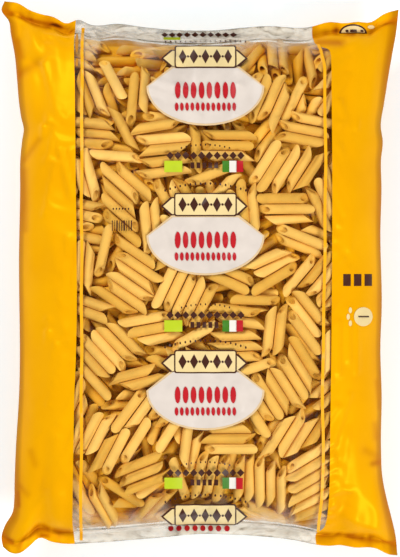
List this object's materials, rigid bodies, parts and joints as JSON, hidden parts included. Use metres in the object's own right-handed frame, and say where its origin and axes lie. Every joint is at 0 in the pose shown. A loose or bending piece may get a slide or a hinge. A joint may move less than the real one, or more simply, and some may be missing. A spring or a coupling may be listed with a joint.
{
  "type": "pasta packet",
  "caption": "Pillow packet of short cut pasta tubes lying on its back: printed film sides, a long clear window over the heap, and crimped end seals with four slack ears.",
  "frame": {"origin": "on the table, under the middle of the packet's outline", "axes": "+Y along the packet towards its top seal, +X to the right of the printed front, +Z out of the front, up off the table"},
  "size_m": [0.3698, 0.516, 0.1015],
  "materials": {
    "printed_film": "glossy yellow printed film, with a clear window over the front",
    "pasta": "dry durum pasta, a slightly waxy straw yellow"
  },
  "bodies": {
    "root": {"packet": "printed_film"}
  },
  "joints": []
}
